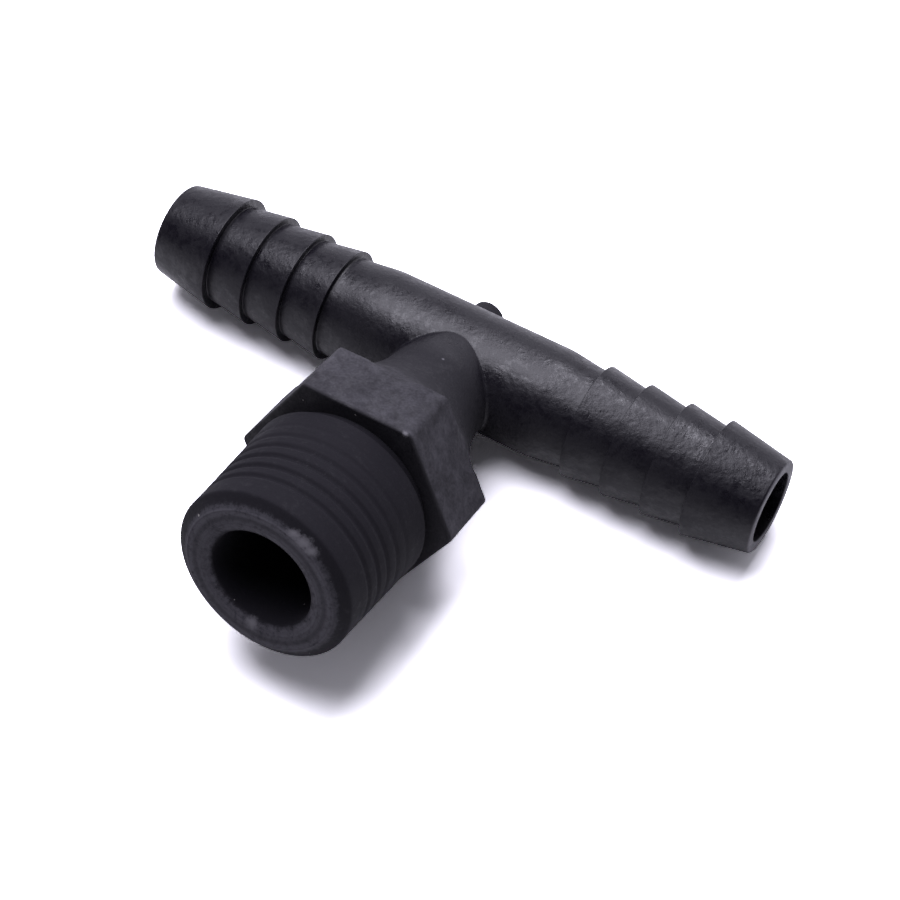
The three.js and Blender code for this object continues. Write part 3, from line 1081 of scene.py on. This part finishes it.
class FITTING_OT_stage(bpy.types.Operator):
    """Add the pale floor, the soft light and the camera"""

    bl_idname = "fitting.stage"
    bl_label = "Stage"

    FLOOR_HALF_WIDTH = 1.5  # in metres
    LOOKS_AT = Vector((4.735, -10.8415, 0.027)) * MM  # in the fitting's own frame
    OVERHEAD = (-0.27, 0.08, 0.95)  # directions of the two panels from the fitting
    REAR = (-0.05, 0.6, 0.8)
    UPPER_ROOM = (0.15, 0.6)  # upward part of a direction, over which the room's back darkens
    ROOM_DEPTH = (-0.1, 0.6)  # backward part of a direction, over which the room brightens

    def execute(self, context):
        settings = context.scene.stage_settings
        self.add_floor(settings)
        self.add_world(settings)
        tint = settings.tint
        size = (settings.key_width, settings.key_length)
        add_panel("Overhead", self.OVERHEAD, size, settings.key, settings.key_turn, tint)
        size = (settings.fill_width, settings.fill_length)
        add_panel("Rear", self.REAR, size, settings.fill, 0.0, tint)
        self.add_camera(settings)
        context.scene.view_settings.view_transform = "Standard"
        return {"FINISHED"}

    def add_floor(self, settings):
        half = self.FLOOR_HALF_WIDTH
        data = bpy.data.meshes.new("Floor")
        corners = [(-half, -half, 0), (half, -half, 0), (half, half, 0), (-half, half, 0)]
        data.from_pydata(corners, [], [(0, 1, 2, 3)])
        material = bpy.data.materials.new("Pale floor")
        material.use_nodes = True
        shader = material.node_tree.nodes["Principled BSDF"]
        shader.inputs["Roughness"].default_value = 0.6
        nodes = Nodes(material.node_tree)
        seen = nodes.add("ShaderNodeLightPath").outputs["Is Camera Ray"]
        plain = (*settings.floor, 1)
        bright = (*(channel * settings.floor_gain for channel in settings.floor), 1)
        colour_seen = nodes.mix_colour(seen, plain, bright)
        material.node_tree.links.new(colour_seen, shader.inputs["Base Color"])
        data.materials.append(material)
        floor = bpy.data.objects.new("Floor", data)
        bpy.context.scene.collection.objects.link(floor)

    def add_world(self, settings):
        """A room that is bright behind the fitting and dark behind the camera."""
        world = bpy.data.worlds.new("Room")
        world.use_nodes = True
        world.node_tree.nodes.clear()
        nodes = Nodes(world.node_tree)
        direction = nodes.add("ShaderNodeTexCoord").outputs["Generated"]
        parts = nodes.add("ShaderNodeSeparateXYZ", {0: direction}).outputs
        high = nodes.stretch(parts["Z"], *self.UPPER_ROOM)
        low = nodes.between(high, 1.0, 1.0 - settings.upper_fall)
        part = nodes.maths("MULTIPLY", nodes.stretch(parts["Y"], *self.ROOM_DEPTH), low)
        strength = nodes.between(part, settings.front, settings.back)
        room = nodes.add("ShaderNodeBackground", {"Color": (*settings.tint, 1), "Strength": strength})
        plain = nodes.add("ShaderNodeBackground", {"Color": (1, 1, 1, 1)})
        seen = nodes.add("ShaderNodeLightPath").outputs["Is Camera Ray"]
        mixed = nodes.add("ShaderNodeMixShader", {0: seen, 1: room.outputs[0], 2: plain.outputs[0]})
        nodes.add("ShaderNodeOutputWorld", {"Surface": mixed.outputs[0]})
        bpy.context.scene.world = world

    def add_camera(self, settings):
        data = bpy.data.cameras.new("Camera")
        data.lens = settings.lens
        data.clip_start = 10 * MM
        data.clip_end = 10
        camera = bpy.data.objects.new("Camera", data)
        azimuth, elevation = settings.azimuth, settings.elevation
        back = Vector(
            (
                math.sin(azimuth) * math.cos(elevation),
                -math.cos(azimuth) * math.cos(elevation),
                math.sin(elevation),
            )
        )
        camera.location = LAID @ self.LOOKS_AT + back * settings.distance
        camera.rotation_mode = "QUATERNION"
        upright = back.to_track_quat("Z", "Y")
        camera.rotation_quaternion = upright @ Matrix.Rotation(settings.roll, 3, "Z").to_quaternion()
        bpy.context.scene.collection.objects.link(camera)
        bpy.context.scene.camera = camera


# ------------------------------------------------------------
# Panel, registration and the order of work
# ------------------------------------------------------------


OPERATORS = (
    FITTING_OT_tee_junction,
    FITTING_OT_shanks,
    FITTING_OT_hose_barbs,
    FITTING_OT_gate_stub,
    FITTING_OT_neck_and_hex,
    FITTING_OT_spigot,
    FITTING_OT_stage,
)


class FITTING_PT_panel(bpy.types.Panel):
    """Lists the fitting's sizes, colours and pieces"""

    bl_idname = "FITTING_PT_panel"
    bl_label = "Barbed tee connector"
    bl_space_type = "VIEW_3D"
    bl_region_type = "UI"
    bl_category = "Fitting"

    def draw(self, context):
        for name, group in SETTINGS.items():
            box = self.layout.box()
            for key in group.__annotations__:
                box.prop(getattr(context.scene, name), key)
        for operator in OPERATORS:
            self.layout.operator(operator.bl_idname)


def register():
    for group in SETTINGS.values():
        bpy.utils.register_class(group)
    for name, group in SETTINGS.items():
        setattr(bpy.types.Scene, name, bpy.props.PointerProperty(type=group))
    for operator in OPERATORS:
        bpy.utils.register_class(operator)
    bpy.utils.register_class(FITTING_PT_panel)


def unregister():
    bpy.utils.unregister_class(FITTING_PT_panel)
    for operator in reversed(OPERATORS):
        bpy.utils.unregister_class(operator)
    for name in SETTINGS:
        delattr(bpy.types.Scene, name)
    for group in reversed(SETTINGS.values()):
        bpy.utils.unregister_class(group)


def main():
    register()
    bpy.ops.fitting.tee_junction()
    bpy.ops.fitting.shanks()
    bpy.ops.fitting.hose_barbs()
    bpy.ops.fitting.gate_stub()
    bpy.ops.fitting.neck_and_hex()
    bpy.ops.fitting.spigot()
    bpy.ops.fitting.stage()


if __name__ == "__main__":
    main()
